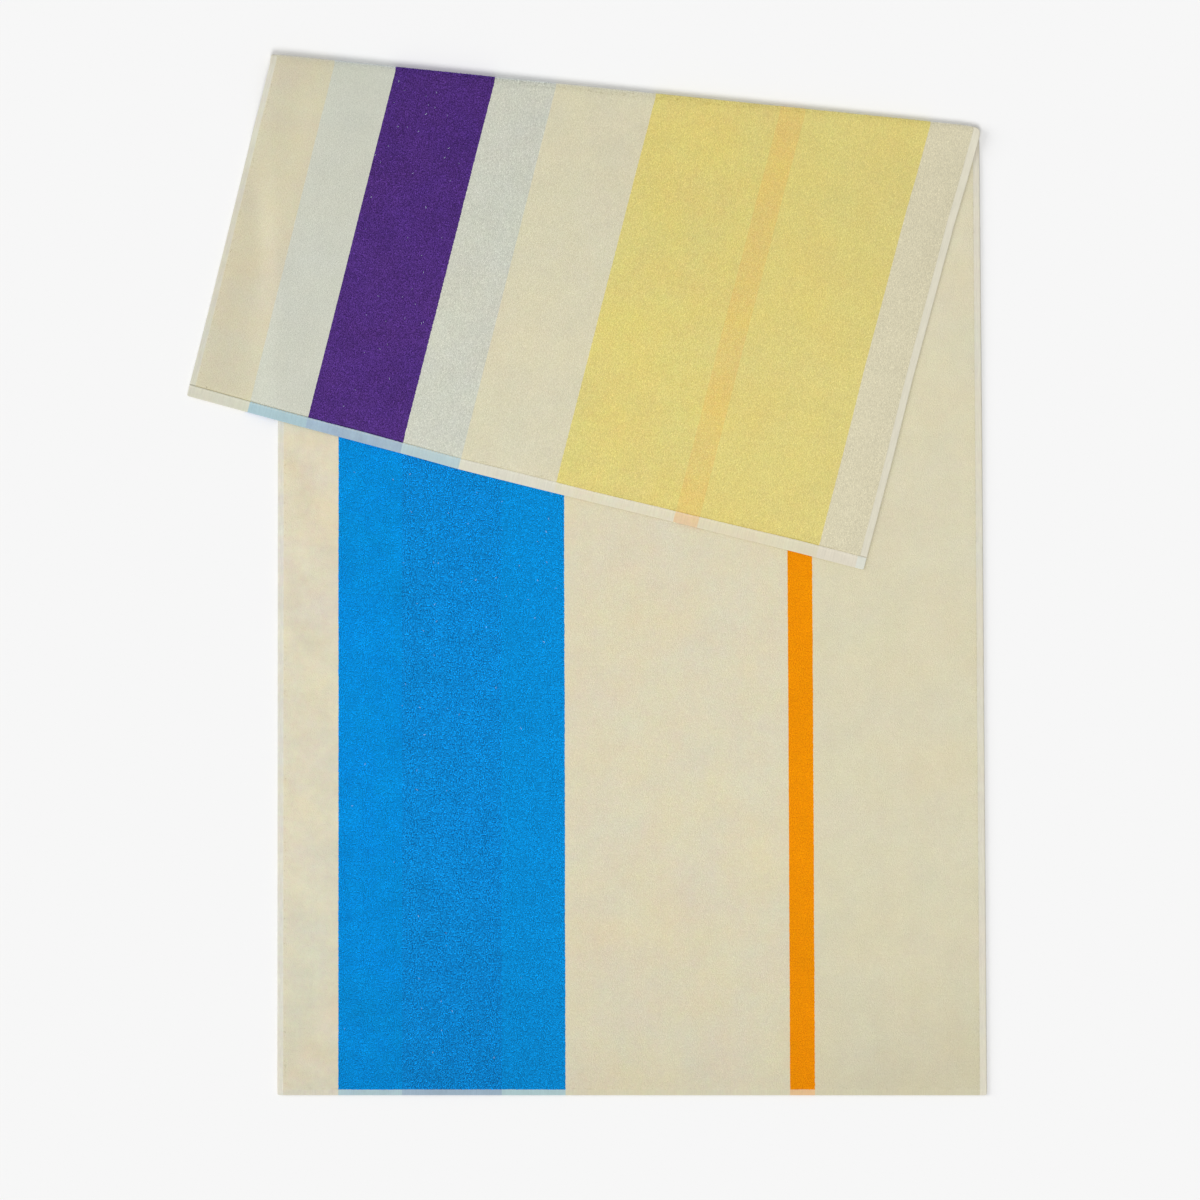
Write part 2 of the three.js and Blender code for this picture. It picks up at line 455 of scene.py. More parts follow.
def soft_bands(places, bands):
    """The strengths of all the bands at each place, fading with the distance from their lines."""
    total = np.zeros(places.shape[:-1])
    for band in bands:
        start = np.array(band["start"]) * MM
        way = np.array(band["end"]) * MM - start
        share = np.clip((places - start) @ way / (way @ way), 0, 1)
        away = np.linalg.norm(places - start - share[..., None] * way, axis=-1)
        total += band["strength"] * np.exp(-((away / (band["half_width"] * MM)) ** 2))
    return total


def crease_height(layer, plan):
    """How far the creases lift each point of the plan."""
    return soft_bands(plan, CREASES[layer]) * MM


print(sum(len(creases) for creases in CREASES.values()), "creases")

# %% [markdown]
# ## Folding the cloth
#
# A cloth simulation could fold the towel, but it wouldn't stop at chosen lines. So every row of
# the mesh is laid by rule. It runs across the towel, with a line of points on either side of the
# cloth. A lower row lies on the floor, face up. A fold row turns round the fold's axis, the
# reverse outside. Pile fills the corners of a fold, so its outer line is squarer than a circle:
# a squareness of 2 would be one. An upper row has the reverse up. Its free edges sag onto the
# layer below, and its right side, which is pressed into the pile there, gets thinner.

# %% Rows of the folded cloth
EDGE_GAP = 0.4 * MM
EDGE_SAG_LENGTH = 28 * MM
SAG_BEGINS = (1 * MM, 24 * MM)
SIDE_PRESSING = {"share": 0.58, "to_side": (4 * MM, 90 * MM), "from_fold": (3 * MM, 40 * MM)}
FOLD_SQUARENESS = 7


def at(plan, z):
    return np.column_stack([plan, np.broadcast_to(z, len(plan))])


def lower_row(plan, row_share):
    share = np.minimum(column_share, row_share)
    lift = crease_height("lower", plan) * share
    return at(plan, 0), at(plan, THICKNESS * share + lift)


def fold_row(turn):
    stray = edge_stray(column_across, 0) * turn / math.pi
    thickness = THICKNESS * column_share
    outer_radius = (THICKNESS + fold_gap(column_across) + thickness) / 2

    def point_at(radius):
        reach = np.multiply.outer(radius * math.sin(turn), fold_outward)
        plan = fold_axis(column_across) + stray + reach
        return at(plan, outer_radius - radius * math.cos(turn))

    squareness = abs(math.sin(turn)) ** FOLD_SQUARENESS + abs(math.cos(turn)) ** FOLD_SQUARENESS
    fullness = squareness ** (-1 / FOLD_SQUARENESS)
    return point_at(outer_radius * fullness), point_at(outer_radius - thickness)


def edge_sag(inset, from_fold):
    """The share by which the gap under the upper layer closes towards its free edges."""
    to_edge = np.minimum(inset, CLOTH_WIDTH - column_places)
    return (1 - ease(to_edge, 0, EDGE_SAG_LENGTH)) * ease(from_fold, *SAG_BEGINS)


def side_pressing(from_fold):
    """The share by which the upper layer is thinner along its right side."""
    to_side = CLOTH_WIDTH - column_places
    near_side = 1 - ease(to_side, *SIDE_PRESSING["to_side"])
    return SIDE_PRESSING["share"] * near_side * ease(from_fold, *SIDE_PRESSING["from_fold"])


def upper_row(plan, inset, row_share, groove):
    from_fold = np.linalg.norm(plan - fold_axis(column_across), axis=1)
    plan = plan + edge_stray(column_across, from_fold / (from_fold + inset))
    closing = ease(from_fold, 0, FOLD_EASING)
    gap = fold_gap(column_across) * (1 - closing) + LAYER_GAP * closing
    gap = gap - (gap - EDGE_GAP) * edge_sag(inset, from_fold)
    under = (THICKNESS + gap + crease_height("upper", plan)) * drop_share(plan, from_fold)
    grooved = row_share - groove * GROOVE_DEPTH_SHARE * curve(GROOVE_PULL, column_across)
    thickness = THICKNESS * np.minimum(column_share, grooved) * (1 - side_pressing(from_fold))
    return at(plan, under + thickness), at(plan, under)


print("Each row gives", len(column_places), "points on either side of the cloth")

# %% [markdown]
# ## All the rows, in order
#
# The rows run from the lower hem to the fold, round it, and back to the turned-over hem. Close
# to a hem they follow its section. Elsewhere they are 5 mm apart, which is fine enough for the
# soft shape and keeps the mesh light.

# %% Laying out the rows
TURN_STEPS = 16
FIRST_STEPS = (2 * MM, 4.5 * MM, 8 * MM, 12 * MM)

rows = []

for inset, share in zip(FACE_END_SECTION["inset_mm"], FACE_END_SECTION["share"], strict=True):
    across, depth = round_corners("lower hem", np.full(len(column_places), inset * MM))
    end = point_on("lower hem", across)
    inwards = unit(point_on("lower middle", across) - end)
    rows.append(lower_row(end + inwards * depth[:, None], share))

hem_end, middle = point_on("lower hem", column_across), point_on("lower middle", column_across)
axis = fold_axis(column_across)
half_length = np.linalg.norm(middle - hem_end, axis=1).mean()
other_half = np.linalg.norm(axis - middle, axis=1).max()
hem_depth = FACE_END_SECTION["inset_mm"][-1] * MM
for start, end, first, length in (
    (hem_end, middle, hem_depth, half_length), (middle, axis, 0, other_half),
):
    for distance in [*spaced(first, length, ROW_SPACING), length]:
        rows.append(lower_row(start + (end - start) * distance / length, 1))

fold_row_index = len(rows) + TURN_STEPS // 2 - 1
for step in range(1, TURN_STEPS + 1):
    rows.append(fold_row(math.pi * step / TURN_STEPS))

upper_end = upper_hem_point(column_across)
upper_length = np.linalg.norm(upper_end - axis, axis=1)
hem_start = REVERSE_END_SECTION["inset_mm"][-1] * MM
body_length = upper_length.mean() - hem_start
for distance in [*FIRST_STEPS, *spaced(FIRST_STEPS[-1], body_length, ROW_SPACING)]:
    plan = axis + (upper_end - axis) * (distance / body_length * (1 - hem_start / upper_length))[:, None]
    rows.append(upper_row(plan, upper_length * (1 - distance / body_length) + hem_start, 1, 0))

for inset, share, groove in reversed(list(zip(*REVERSE_END_SECTION.values(), strict=True))):
    across, depth = round_corners("upper hem", np.full(len(column_places), inset * MM))
    end = upper_hem_point(across)
    inwards = unit(fold_axis(column_across) - end)
    rows.append(upper_row(end + inwards * depth[:, None], depth, share, groove))

reverse_side = np.array([reverse for reverse, face in rows])
face_side = np.array([face for reverse, face in rows])
row_count, column_count = reverse_side.shape[:2]
print(row_count, "rows by", column_count, "columns")

# %% [markdown]
# ## The flat cloth as a map
#
# A woven pattern belongs to the flat cloth. An unwrap would only come near to that, so the UV
# map is measured, in real metres: U is the distance across and V the distance along, down the
# middle of the thickness. Each column is brought to the full length, and the sewn hem keeps the
# distances of its table.

# %% Measuring along the cloth
middle_line = (reverse_side + face_side) / 2
steps = np.linalg.norm(np.diff(middle_line, axis=0), axis=2)
measured = np.vstack([np.zeros(column_count), np.cumsum(steps, axis=0)])
hem_insets = np.array(REVERSE_END_SECTION["inset_mm"]) * MM
body_end = row_count - len(hem_insets)
along = measured / measured[body_end] * (CLOTH_LENGTH - hem_insets[-1])
along[body_end:] = CLOTH_LENGTH - hem_insets[::-1, None]
across = np.broadcast_to(column_places, along.shape)
fold_slope, fold_start = (float(value) for value in np.polyfit(column_places, along[fold_row_index], 1))
fold_end = fold_start + fold_slope * CLOTH_WIDTH
print(f"Measured length from {measured[-1].min():.3f} to {measured[-1].max():.3f} m")
print(f"The fold lies {fold_start:.3f} m along the cloth on the left, {fold_end:.3f} m on the right")

# %% [markdown]
# ## Painted light and shade on the pile
#
# Some looks of the pile depend on the place, and are painted light and shade. Towards one end of
# either side the pile is painted darker, as painted shade where the light falls off, and shows more
# of the ground. On the fold, a painted highlight and a painted sheen make the loops along the
# outer edge lighter and paler, and painted shade darkens the fold on top. Beside the sewn hem and
# here and there the pile is painted lighter or darker. All this could be painted by hand, but it
# follows rules. So it is worked out point by point, and goes along with the mesh as attributes
# that its materials read.

# %% Painted light and shade on the pile
# Painted shade: the pile is darker towards one end of either side, and in two patches by the lower hem
PAINTED_END_SHADE = {"face": (-60 * MM, 320 * MM), "reverse": (1040 * MM, 1290 * MM)}
PAINTED_END_SHADE_PATCHES = table(
    BAND_COLUMNS, ((0, 0), (700, 0), 34, 0.45), ((600, 0), (700, 40), 70, 0.7)
)
# Painted light, painted shade and painted sheen on the pile by the fold's turn, in degrees
PAINTED_FOLD_LIGHT = {0: 1, 60: 1, 90: 1.25, 130: 1.27, 142: 0.93, 155: 0.935, 180: 0.955}
PAINTED_RIM_SHEEN = {0: 0, 60: 0.6, 90: 1, 130: 1, 142: 0.25, 155: 0.1, 180: 0}
FOLD_LIGHT_FADE_LENGTH = 4 * MM
GROOVE_PLACE = CLOTH_LENGTH - EVEN_HEM_DEPTH * MM
# Painted light in one patch and painted shade in another, near the left side of the turned-over end
PAINTED_LIGHT_PATCHES = table(
    BAND_COLUMNS, ((52, 1090), (48, 1210), 20, 0.045), ((8, 1120), (26, 1395), 15, -0.03)
)
# Painted shade on the pile just beside the sewn hem, on its right half
PAINTED_SHADE_BESIDE_HEM = {"tone": 0.95, "across": (330 * MM, 430 * MM), "from_hem": (1.5 * MM, 9 * MM)}

flat_places = np.stack([across, along], axis=-1)
turned_over = np.arange(row_count)[:, None] >= fold_row_index
flattened = 1 - np.where(
    turned_over, ease(along, *PAINTED_END_SHADE["reverse"]), ease(along, *PAINTED_END_SHADE["face"])
)
flattened = flattened + soft_bands(flat_places, PAINTED_END_SHADE_PATCHES)

first_turn, last_turn = fold_row_index - TURN_STEPS // 2, fold_row_index + TURN_STEPS // 2
turn = np.clip((np.arange(row_count) - first_turn) / TURN_STEPS, 0, 1) * 180
# Painted highlight along the fold's outer edge and painted shade on its top, fading out past the fold
pile_tone = curve(PAINTED_FOLD_LIGHT, turn)[:, None]
fold_light_faded = ease(along - along[last_turn], 0, FOLD_LIGHT_FADE_LENGTH)
pile_tone = pile_tone + (1 - pile_tone) * fold_light_faded
# Painted shade beside the hem
to_hem = GROOVE_PLACE - along
shade_beside_hem = (1 - ease(to_hem, *PAINTED_SHADE_BESIDE_HEM["from_hem"])) * ease(across, *PAINTED_SHADE_BESIDE_HEM["across"])
pile_tone = pile_tone * (1 - (1 - PAINTED_SHADE_BESIDE_HEM["tone"]) * shade_beside_hem * (to_hem > 0))
pile_tone = pile_tone * (1 + soft_bands(flat_places, PAINTED_LIGHT_PATCHES))
fold_paleness = curve(PAINTED_RIM_SHEEN, turn)[:, None] * (1 - fold_light_faded)
TONES = {"flattened": flattened, "pile_tone": pile_tone, "fold_paleness": fold_paleness}
print("The pile's tone at the fold is from", pile_tone.min().round(2), "to", pile_tone.max().round(2))

# %% [markdown]
# ## The faces of the sheet
#
# The rows become one closed mesh: a grid for the reverse, a grid for the face, and a narrow wall
# round the four edges. A flat sheet with a Solidify modifier would be thick all over. Here the
# underside has to lie flat on the floor while the upper side follows the hems.

# %% Faces of the sheet
FACE_SLOT = 0
REVERSE_SLOT = 1


def grid_faces(first_point, flipped):
    """The four-sided faces of a grid whose points start at first_point."""
    start = np.arange(row_count - 1)[:, None] * column_count + np.arange(column_count - 1)
    corners = np.stack([start, start + column_count, start + column_count + 1, start + 1], axis=-1)
    corners = corners.reshape(-1, 4) + first_point
    return corners[:, ::-1] if flipped else corners


point_count = row_count * column_count
index = np.arange(point_count).reshape(row_count, column_count)
walls = [
    np.stack([edge[:-1], edge[:-1] + point_count, edge[1:] + point_count, edge[1:]], axis=-1)
    for edge in (index[:, 0], index[::-1, -1], index[0, ::-1], index[-1, :])
]
faces_of_face = grid_faces(point_count, flipped=True)
faces_of_reverse = grid_faces(0, flipped=False)
all_faces = np.concatenate([faces_of_face, *walls, faces_of_reverse])
slot_of_faces = np.full(len(all_faces), FACE_SLOT)
slot_of_faces[-len(faces_of_reverse):] = REVERSE_SLOT
corner_row = all_faces % point_count // column_count
corner_column = all_faces % column_count
print(f"The sheet has {2 * len(all_faces)} triangles")

# %% [markdown]
# ## A second map for baked images
#
# The flat map runs in metres. Where the looks are baked to an image, each part of the surface
# needs its own place in a unit square. The two parts that are seen get the most of it: the face
# up to the fold, and the reverse beyond it. The hidden ones share the rest. The table gives each
# its box, and says whether its length is laid sideways. Each wall goes with the part that is
# seen beside it, on a narrow rim kept free for it.

# %% The bake map
WALL_RIM = 0.01
BAKE_BOXES = table(
    "side beyond_fold low high sideways",
    ("face", False, (0.003, 0.003), (0.68, 0.997), False),
    ("reverse", True, (0.69, 0.003), (0.997, 0.68), True),
    ("face", True, (0.69, 0.69), (0.997, 0.84), False),
    ("reverse", False, (0.69, 0.85), (0.997, 0.997), True),
)

on_reverse = all_faces < point_count
beyond_fold = corner_row.min(axis=1) >= fold_row_index
is_wall = np.zeros(len(all_faces), bool)
is_wall[len(faces_of_face):-len(faces_of_reverse)] = True
of_reverse = np.where(is_wall, beyond_fold, on_reverse.all(axis=1))

corner_along = along[corner_row, corner_column]
corner_fold = along[fold_row_index][corner_column]
past_fold = (corner_along - corner_fold) / (CLOTH_LENGTH - corner_fold)
share_along = np.where(beyond_fold[:, None], past_fold, corner_along / corner_fold)
share_across = column_across[corner_column]
bake_share = WALL_RIM + (1 - 2 * WALL_RIM) * np.stack([share_across, share_along], axis=-1)
outer_side = is_wall[:, None] & (on_reverse != of_reverse[:, None])
side_wall = (corner_column.min(axis=1) == corner_column.max(axis=1))[:, None]
bake_share[..., 0] = np.where(outer_side & side_wall, np.round(share_across), bake_share[..., 0])
bake_share[..., 1] = np.where(outer_side & ~side_wall, np.round(share_along), bake_share[..., 1])

bake_place = np.zeros_like(bake_share)
for box in BAKE_BOXES:
    chosen = (of_reverse == (box["side"] == "reverse")) & (beyond_fold == box["beyond_fold"])
    share = bake_share[chosen][..., ::-1] if box["sideways"] else bake_share[chosen]
    low, high = np.array(box["low"]), np.array(box["high"])
    bake_place[chosen] = low + (high - low) * share
print("The bake map is laid out in", len(BAKE_BOXES), "boxes")

# %% [markdown]
# ## The sheet
#
# One helper makes every piece of the towel, so that all of them carry the same things: their two
# maps, the painted light and shade of the pile and a material slot for each face. The sheet comes first.

# %% Building the sheet
FLAT_MAP = "flat_cloth"
BAKE_MAP = "OFBake"


def new_piece(name, points, faces, in_flat, in_bake, tones, slots):
    mesh = bpy.data.meshes.new(name)
    mesh.from_pydata(points, [], faces.tolist())
    for label, places in {FLAT_MAP: in_flat, BAKE_MAP: in_bake}.items():
        layer = mesh.uv_layers.new(name=label)
        layer.uv.foreach_set("vector", places.astype(np.float32).ravel())
    mesh.uv_layers.active = mesh.uv_layers[FLAT_MAP]
    for label, values in tones.items():
        attribute = mesh.attributes.new(label, "FLOAT", "POINT")
        attribute.data.foreach_set("value", values.astype(np.float32))
    mesh.polygons.foreach_set("material_index", slots.astype(np.int32))
    mesh.polygons.foreach_set("use_smooth", np.ones(len(faces), bool))
    mesh.update()
    piece = bpy.data.objects.new(name, mesh)
    bpy.context.scene.collection.objects.link(piece)
    return piece


cloth = new_piece(
    "towel_cloth", np.concatenate([reverse_side.reshape(-1, 3), face_side.reshape(-1, 3)]), all_faces,
    flat_places[corner_row, corner_column], bake_place,
    {name: np.tile(grid.ravel(), 2) for name, grid in TONES.items()}, slot_of_faces,
)
print("towel_cloth has", len(cloth.data.vertices), "points")

# %% [markdown]
# ## The stripes
#
# Each stripe is woven from two pile yarns. One makes the loops of the face and the other those
# of the reverse, and the pattern comes from changing them over. So both sides have the same kind
# of table. It says how far across a stripe ends, the colour of its loops, and the colour that
# shows in the gaps between them, which leans to that of the other side. The speckle says how
# much lighter or darker a single loop may be, the mottle says the same of patches, and the tint
# how far the colour of these drifts. The last colour is that of the flat hem, where a pale weft
# crosses the coloured warp.

# %% The stripe tables
STRIPE_COLUMNS = "ends_mm loops gaps speckle mottle tint hem"
FACE_STRIPES = table(
    STRIPE_COLUMNS,
    (60, "#dbd3ba", "#d7cfb5", 0.01, 0.26, 0.16, "#d1cab6"),
    (121, "#0195e9", "#00659d", 0.29, 0.38, 0.12, "#a6bec4"),
    (220.5, "#0596e8", "#07477e", 0.51, 0.29, 0.04, "#97acbc"),
    (282.5, "#0397e7", "#026097", 0.38, 0.22, 0.015, "#a6c0c3"),
    (505.5, "#dcd4b9", "#d3caac", 0.07, 0.09, 0.13, "#cfc9ae"),
    (528.7, "#f39700", "#d87800", 0.1, 0.2, 0.11, "#dbb78a"),
    (700, "#d9d2b6", "#d1caab", 0.05, 0.12, 0.08, "#cbc5a9"),
)
REVERSE_STRIPES = table(
    STRIPE_COLUMNS,
    (62, "#d3ccb2", "#c9c1a4", 0.05, 0.075, 0.105, "#d1cfbd"),
    (120.7, "#cecfc1", "#c0c3b5", 0.07, 0.12, 0.036, "#a7c1c8"),
    (220.2, "#573684", "#301656", 0.53, 0.38, 0.115, "#9fb4c4"),
    (280.6, "#cecfc1", "#c0c3b5", 0.18, 0.16, 0.062, "#b4c8cb"),
    (379.6, "#d9d3b8", "#cfc8a8", 0.1, 0.12, 0.067, "#d8d5c4"),
    (501.6, "#ded083", "#d1c16e", 0.165, 0.1, 0.155, "#dcd6be"),
    (525.4, "#e1cb7e", "#d5b865", 0.15, 0.1, 0.2, "#e1c59d"),
    (650.6, "#ded084", "#d1c16f", 0.16, 0.1, 0.12, "#dad3b7"),
    (700, "#d9d2b6", "#cfc7a8", 0.155, 0.1, 0.018, "#dad3c1"),
)
SIDE_HEMS = {
    "left": {"width_mm": 5.8, "face": "#d9d6c8", "reverse": "#d0cdbc"},
    "right": {"width_mm": 6.9, "face": "#d9d4c2", "reverse": "#dbd6c3"},
}


def dyed(code):
    """A colour code as the linear red, green, blue and alpha that a shader takes."""
    parts = np.array([int(code[start:start + 2], 16) for start in (1, 3, 5)]) / 255
    linear = np.where(parts <= 0.04045, parts / 12.92, ((parts + 0.055) / 1.055) ** 2.4)
    return (*linear, 1.0)


print(len(FACE_STRIPES), "stripes on the face and", len(REVERSE_STRIPES), "on the reverse")

# %% [markdown]
# ## Helpers for node groups
#
# A node group is a small machine with named inputs and outputs. Both sides of the cloth use the
# groups below, so that a change to one shows on both. These helpers start a group, and add what
# comes up again and again: smooth steps, noises and mixes of colours.

# %% Group helpers
def start_group(name, inputs, outputs):
    """A new shader node group: the group, what comes in, and a function that sends things out."""
    group = bpy.data.node_groups.new(name, "ShaderNodeTree")
    for label, kind in inputs.items():
        socket = group.interface.new_socket(label, in_out="INPUT", socket_type="NodeSocket" + kind)
        if kind == "Float":
            socket.default_value = 0.0
    for label, kind in outputs.items():
        group.interface.new_socket(label, in_out="OUTPUT", socket_type="NodeSocket" + kind)
    given = {socket.name: Out(socket) for socket in group.nodes.new("NodeGroupInput").outputs}
    result = group.nodes.new("NodeGroupOutput")

    def send(**values):
        for label, value in values.items():
            feed(result.inputs[label.replace("_", " ")], value)

    return group, given, send


def rising(value, low, high):
    """0 below low, 1 above high, and smooth between them."""
    limits = {"Value": value, "From Min": low, "From Max": high}
    return add(value.tree, "MapRange", limits, interpolation_type="SMOOTHSTEP")["Result"]


def place_of(across, along):
    return add(across.tree, "CombineXYZ", {"X": across, "Y": along})["Vector"]


def noise(place, scale, detail, roughness=0.5):
    """A soft noise about 0, from about -0.5 to 0.5. It is lined up along a line or on a plane."""
    on_plane = place.socket.type == "VECTOR"
    inputs = {"Vector" if on_plane else "W": place, "Scale": scale, "Detail": detail}
    inputs["Roughness"] = roughness
    node = add(place.tree, "TexNoise", inputs, noise_dimensions="2D" if on_plane else "1D")
    return node["Fac"] - 0.5


def mixed(share, first, second, way="MIX"):
    """A mix of two colours. At least one of the values comes out of a node."""
    tree = next(value.tree for value in (share, first, second) if isinstance(value, Out))
    node = tree.nodes.new("ShaderNodeMix")
    node.data_type, node.clamp_factor, node.blend_type = "RGBA", True, way
    for socket, value in zip((node.inputs[0], *node.inputs[6:8]), (share, first, second), strict=True):
        feed(socket, value)
    return Out(node.outputs[2])


def filtered(colour, through):
    """A colour times another one, as light through a filter."""
    return mixed(1.0, colour, through, way="MULTIPLY")


def brightened(colour, brightness, amount):
    """A colour times 1 + brightness x amount."""
    return filtered(colour, brightness.math("MULTIPLY_ADD", amount, 1.0))


print("Node groups can be started")

# %% [markdown]
# ## Terry loops
#
# Terry is a field of small yarn loops, a little longer along the towel than across. There are
# far too many to model, so the material draws them. A Voronoi texture gives cells of one size,
# set unevenly. The distance to a cell's middle is the shape of its loop, and its random colour
# makes some loops lighter and a few tips bright. The cell's own place is passed on too, so that
# a whole loop takes one colour and the edge of a stripe is as ragged as yarn. Fine streaks run
# lengthwise where warp threads lie tighter.

# %% The terry group
LOOP_WIDTH = 0.95 * MM
LOOP_LENGTH = 1.3 * MM
LOOP_UNEVENNESS = 0.55
GAP_BEGINS = (0.25, 0.7)
BRIGHT_LOOPS = (0.86, 0.95)
STREAK_STRETCH = 0.12
STREAK_SHARE = 0.15
FIBRE_RELIEF = 0.5

PLACE = {"Across": "Float", "Along": "Float"}

terry, given, send = start_group(
    "terry_loops", PLACE,
    {"Height": "Float", "Gap": "Float", "Shade": "Float", "Loop Across": "Float"},
)
loops_across, loops_along = given["Across"] / LOOP_WIDTH, given["Along"] / LOOP_LENGTH
loop_place = place_of(loops_across, loops_along)
cells = add(
    terry, "TexVoronoi", {"Vector": loop_place, "Scale": 1.0, "Randomness": LOOP_UNEVENNESS},
    voronoi_dimensions="2D",
)
cell_colour = add(terry, "SeparateColor", {"Color": cells["Color"]})
cell_place = add(terry, "SeparateXYZ", {"Vector": cells["Position"]})
gap = rising(cells["Distance"], *GAP_BEGINS)
fibres = noise(loop_place, scale=2.6, detail=2)
streaks = noise(place_of(loops_across, loops_along * STREAK_STRETCH), scale=0.8, detail=1)
bright_tips = rising(cell_colour["Green"], *BRIGHT_LOOPS) * (1 - gap)
send(
    Height=fibres * FIBRE_RELIEF + (1 - gap),
    Gap=gap,
    Shade=cell_colour["Red"] - 0.5 + (streaks * STREAK_SHARE + fibres) + bright_tips,
    Loop_Across=cell_place["X"] * LOOP_WIDTH,
)
print(f"A loop is {LOOP_WIDTH / MM:.2f} mm wide and {LOOP_LENGTH / MM:.2f} mm long")

# %% [markdown]
# ## Flat weave
#
# The hems show the ground cloth, a plain weave in which threads go over and under by turns. Two
# sine waves at right angles make its little squares. Warp threads of uneven thickness draw fine
# lines along the towel.

# %% The flat weave group
THREAD_PITCH = 0.9 * MM
WARP_LINE_LENGTH = 14 * MM

weave, given, send = start_group("flat_weave", PLACE, {"Height": "Float", "Shade": "Float"})
waves = [(given[way] * (math.tau / THREAD_PITCH)).math("SINE") for way in PLACE]
warp_place = place_of(given["Across"] / THREAD_PITCH, given["Along"] / WARP_LINE_LENGTH)
send(Height=waves[0] * waves[1], Shade=noise(warp_place, scale=0.9, detail=2))
print(f"Threads of the flat weave are {THREAD_PITCH / MM:.1f} mm apart")

# %% [markdown]
# ## Drifting colour
#
# Dyed cotton is never one even colour. Over a few centimetres it drifts a little towards warm or
# cool, towards rose or green, and lighter or darker, with a soft noise for each. The first two
# have the wider patches.

# %% The drift group
DRIFT_SIZE = 22 * MM
ROSE_SHARE = 1.7
BLUE_SHARE = -2.0

drift, given, send = start_group(
    "colour_drift", {"Colour": "Color", **PLACE, "Tint": "Float", "Light": "Float"},
    {"Colour": "Color"},
)
drift_place = place_of(given["Across"] / DRIFT_SIZE, given["Along"] / DRIFT_SIZE)
warmer = noise(drift_place, scale=0.22, detail=5, roughness=0.75) * given["Tint"]
rosy = noise(drift_place, scale=0.26, detail=6, roughness=1)
rosier = rosy * (given["Tint"] * ROSE_SHARE)
lighter = noise(drift_place, scale=0.6, detail=4, roughness=0.75)
level = lighter.math("MULTIPLY_ADD", given["Light"], 1.0)
drifting = {"Red": level + warmer, "Green": level - rosier, "Blue": warmer * BLUE_SHARE + level}
change = add(drift, "CombineColor", drifting)["Color"]
send(Colour=filtered(given["Colour"], change))
print(f"Patches of drifting colour are some {DRIFT_SIZE / MM:.0f} mm wide and more")

# %% [markdown]
# ## The cloth's two materials
#
# Face and reverse are made by one recipe from their own stripe table. The flat map gives the
# place on the cloth, and colour ramps turn the place across into colours. Masks made from the
# distances to the edges say where the flat weave takes over from the loops. The height of both
# goes to one bump.
#
# A painted highlight makes the hem palest along its inner edge, where it is sewn down, and painted
# shade darkens the groove beside the seam. At its right corner the hem is painted paler. Sheen,
# the soft light of many fibre ends, is the same all over and is set on the shader.

# %% Making the cloth's materials
STRIPE_WANDER = 0.5 * MM
LOOP_HOLDS_COLOUR = 0.45
HEM_SPECKLE = 0.2
RAGGED = 0.35 * MM
LOOP_RELIEF = 0.13
WEAVE_RELIEF = 0.06
HEM_WANDER = 0.9 * MM
# Where the painted shade towards the ends lies, more of the gap colour shows
PAINTED_END_SHADE_GAPS = 0.068
PAINTED_SHEEN_TINT = (1.06, 1.13, 1.34, 1)
PAINTED_SEAM_HIGHLIGHT = 0.07
HEM_CORNER = {"width": 9 * MM, "softness": 0.4 * MM, "colour": "#d9dacd"}
GROOVE_SHADE = {"pile": 0.04, "side hem": 0.2}
GROOVE_WIDTH = (0.2 * MM, 0.8 * MM)
SIDE_HEM_SOFTNESS = 0.3 * MM
END_HEM_SOFTNESS = 0.2 * MM

# For each side: where its flat end hem stops, where that hem is sewn down, and how much darker the
# painted shade towards its end makes the pile
SIDES = {
    "face": {"hem_edge": 5.7 * MM, "sewn": (0, 0), "flattened": 0.06},
    "reverse": {
        "hem_edge": GROOVE_PLACE + 0.7 * MM,
        "sewn": (CLOTH_LENGTH - 11.1 * MM, CLOTH_LENGTH - 9 * MM), "flattened": 0.04,
    },
}


def past(value, edge, softness):
    return rising(value, edge - softness, edge + softness)


def stripe_ramp(share_across, stripes, column):
    """A colour ramp with hard changes, one for each stripe of the table."""
    node = share_across.tree.nodes.new("ShaderNodeValToRGB")
    feed(node.inputs["Fac"], share_across)
    node.color_ramp.interpolation = "CONSTANT"
    elements = node.color_ramp.elements
    elements.remove(elements[1])
    starts = [0, *(stripe["ends_mm"] * MM / CLOTH_WIDTH for stripe in stripes[:-1])]
    for start, stripe in zip(starts, stripes, strict=True):
        element = elements.new(start) if start else elements[0]
        value = stripe[column]
        element.color = dyed(value) if isinstance(value, str) else (value, value, value, 1)
    return Out(node.outputs["Color"])


def cotton_pile(tree, side, stripes, here, loops):
    """The colour of the loops, and how much it drifts there."""
    wander = noise(here["Along"], scale=9, detail=3) * STRIPE_WANDER
    of_loop = (loops["Loop Across"] - here["Across"]) * LOOP_HOLDS_COLOUR + here["Across"]
    share_of_loop = (of_loop + wander) / CLOTH_WIDTH
    stripe = {
        column: stripe_ramp(share_of_loop, stripes, column)
        for column in ("loops", "gaps", "speckle", "mottle", "tint")
    }
    tone = {name: add(tree, "Attribute", attribute_name=name)["Fac"] for name in TONES}
    # The pile carries painted shade towards the ends, painted light and shade on the fold and beside the
    # hem, and a painted sheen on the fold's rim
    gap_share = tone["flattened"] * PAINTED_END_SHADE_GAPS + loops["Gap"]
    pile = mixed(gap_share, stripe["loops"], stripe["gaps"])
    pile = brightened(pile, loops["Shade"], stripe["speckle"])
    pile = brightened(pile, tone["flattened"], -SIDES[side]["flattened"])
    # Painted light and shade, then the painted sheen of the fold's rim
    pile = filtered(pile, tone["pile_tone"])
    pile = filtered(pile, mixed(tone["fold_paleness"], (1, 1, 1, 1), PAINTED_SHEEN_TINT))
    return pile, {"Tint": stripe["tint"], "Light": stripe["mottle"]}


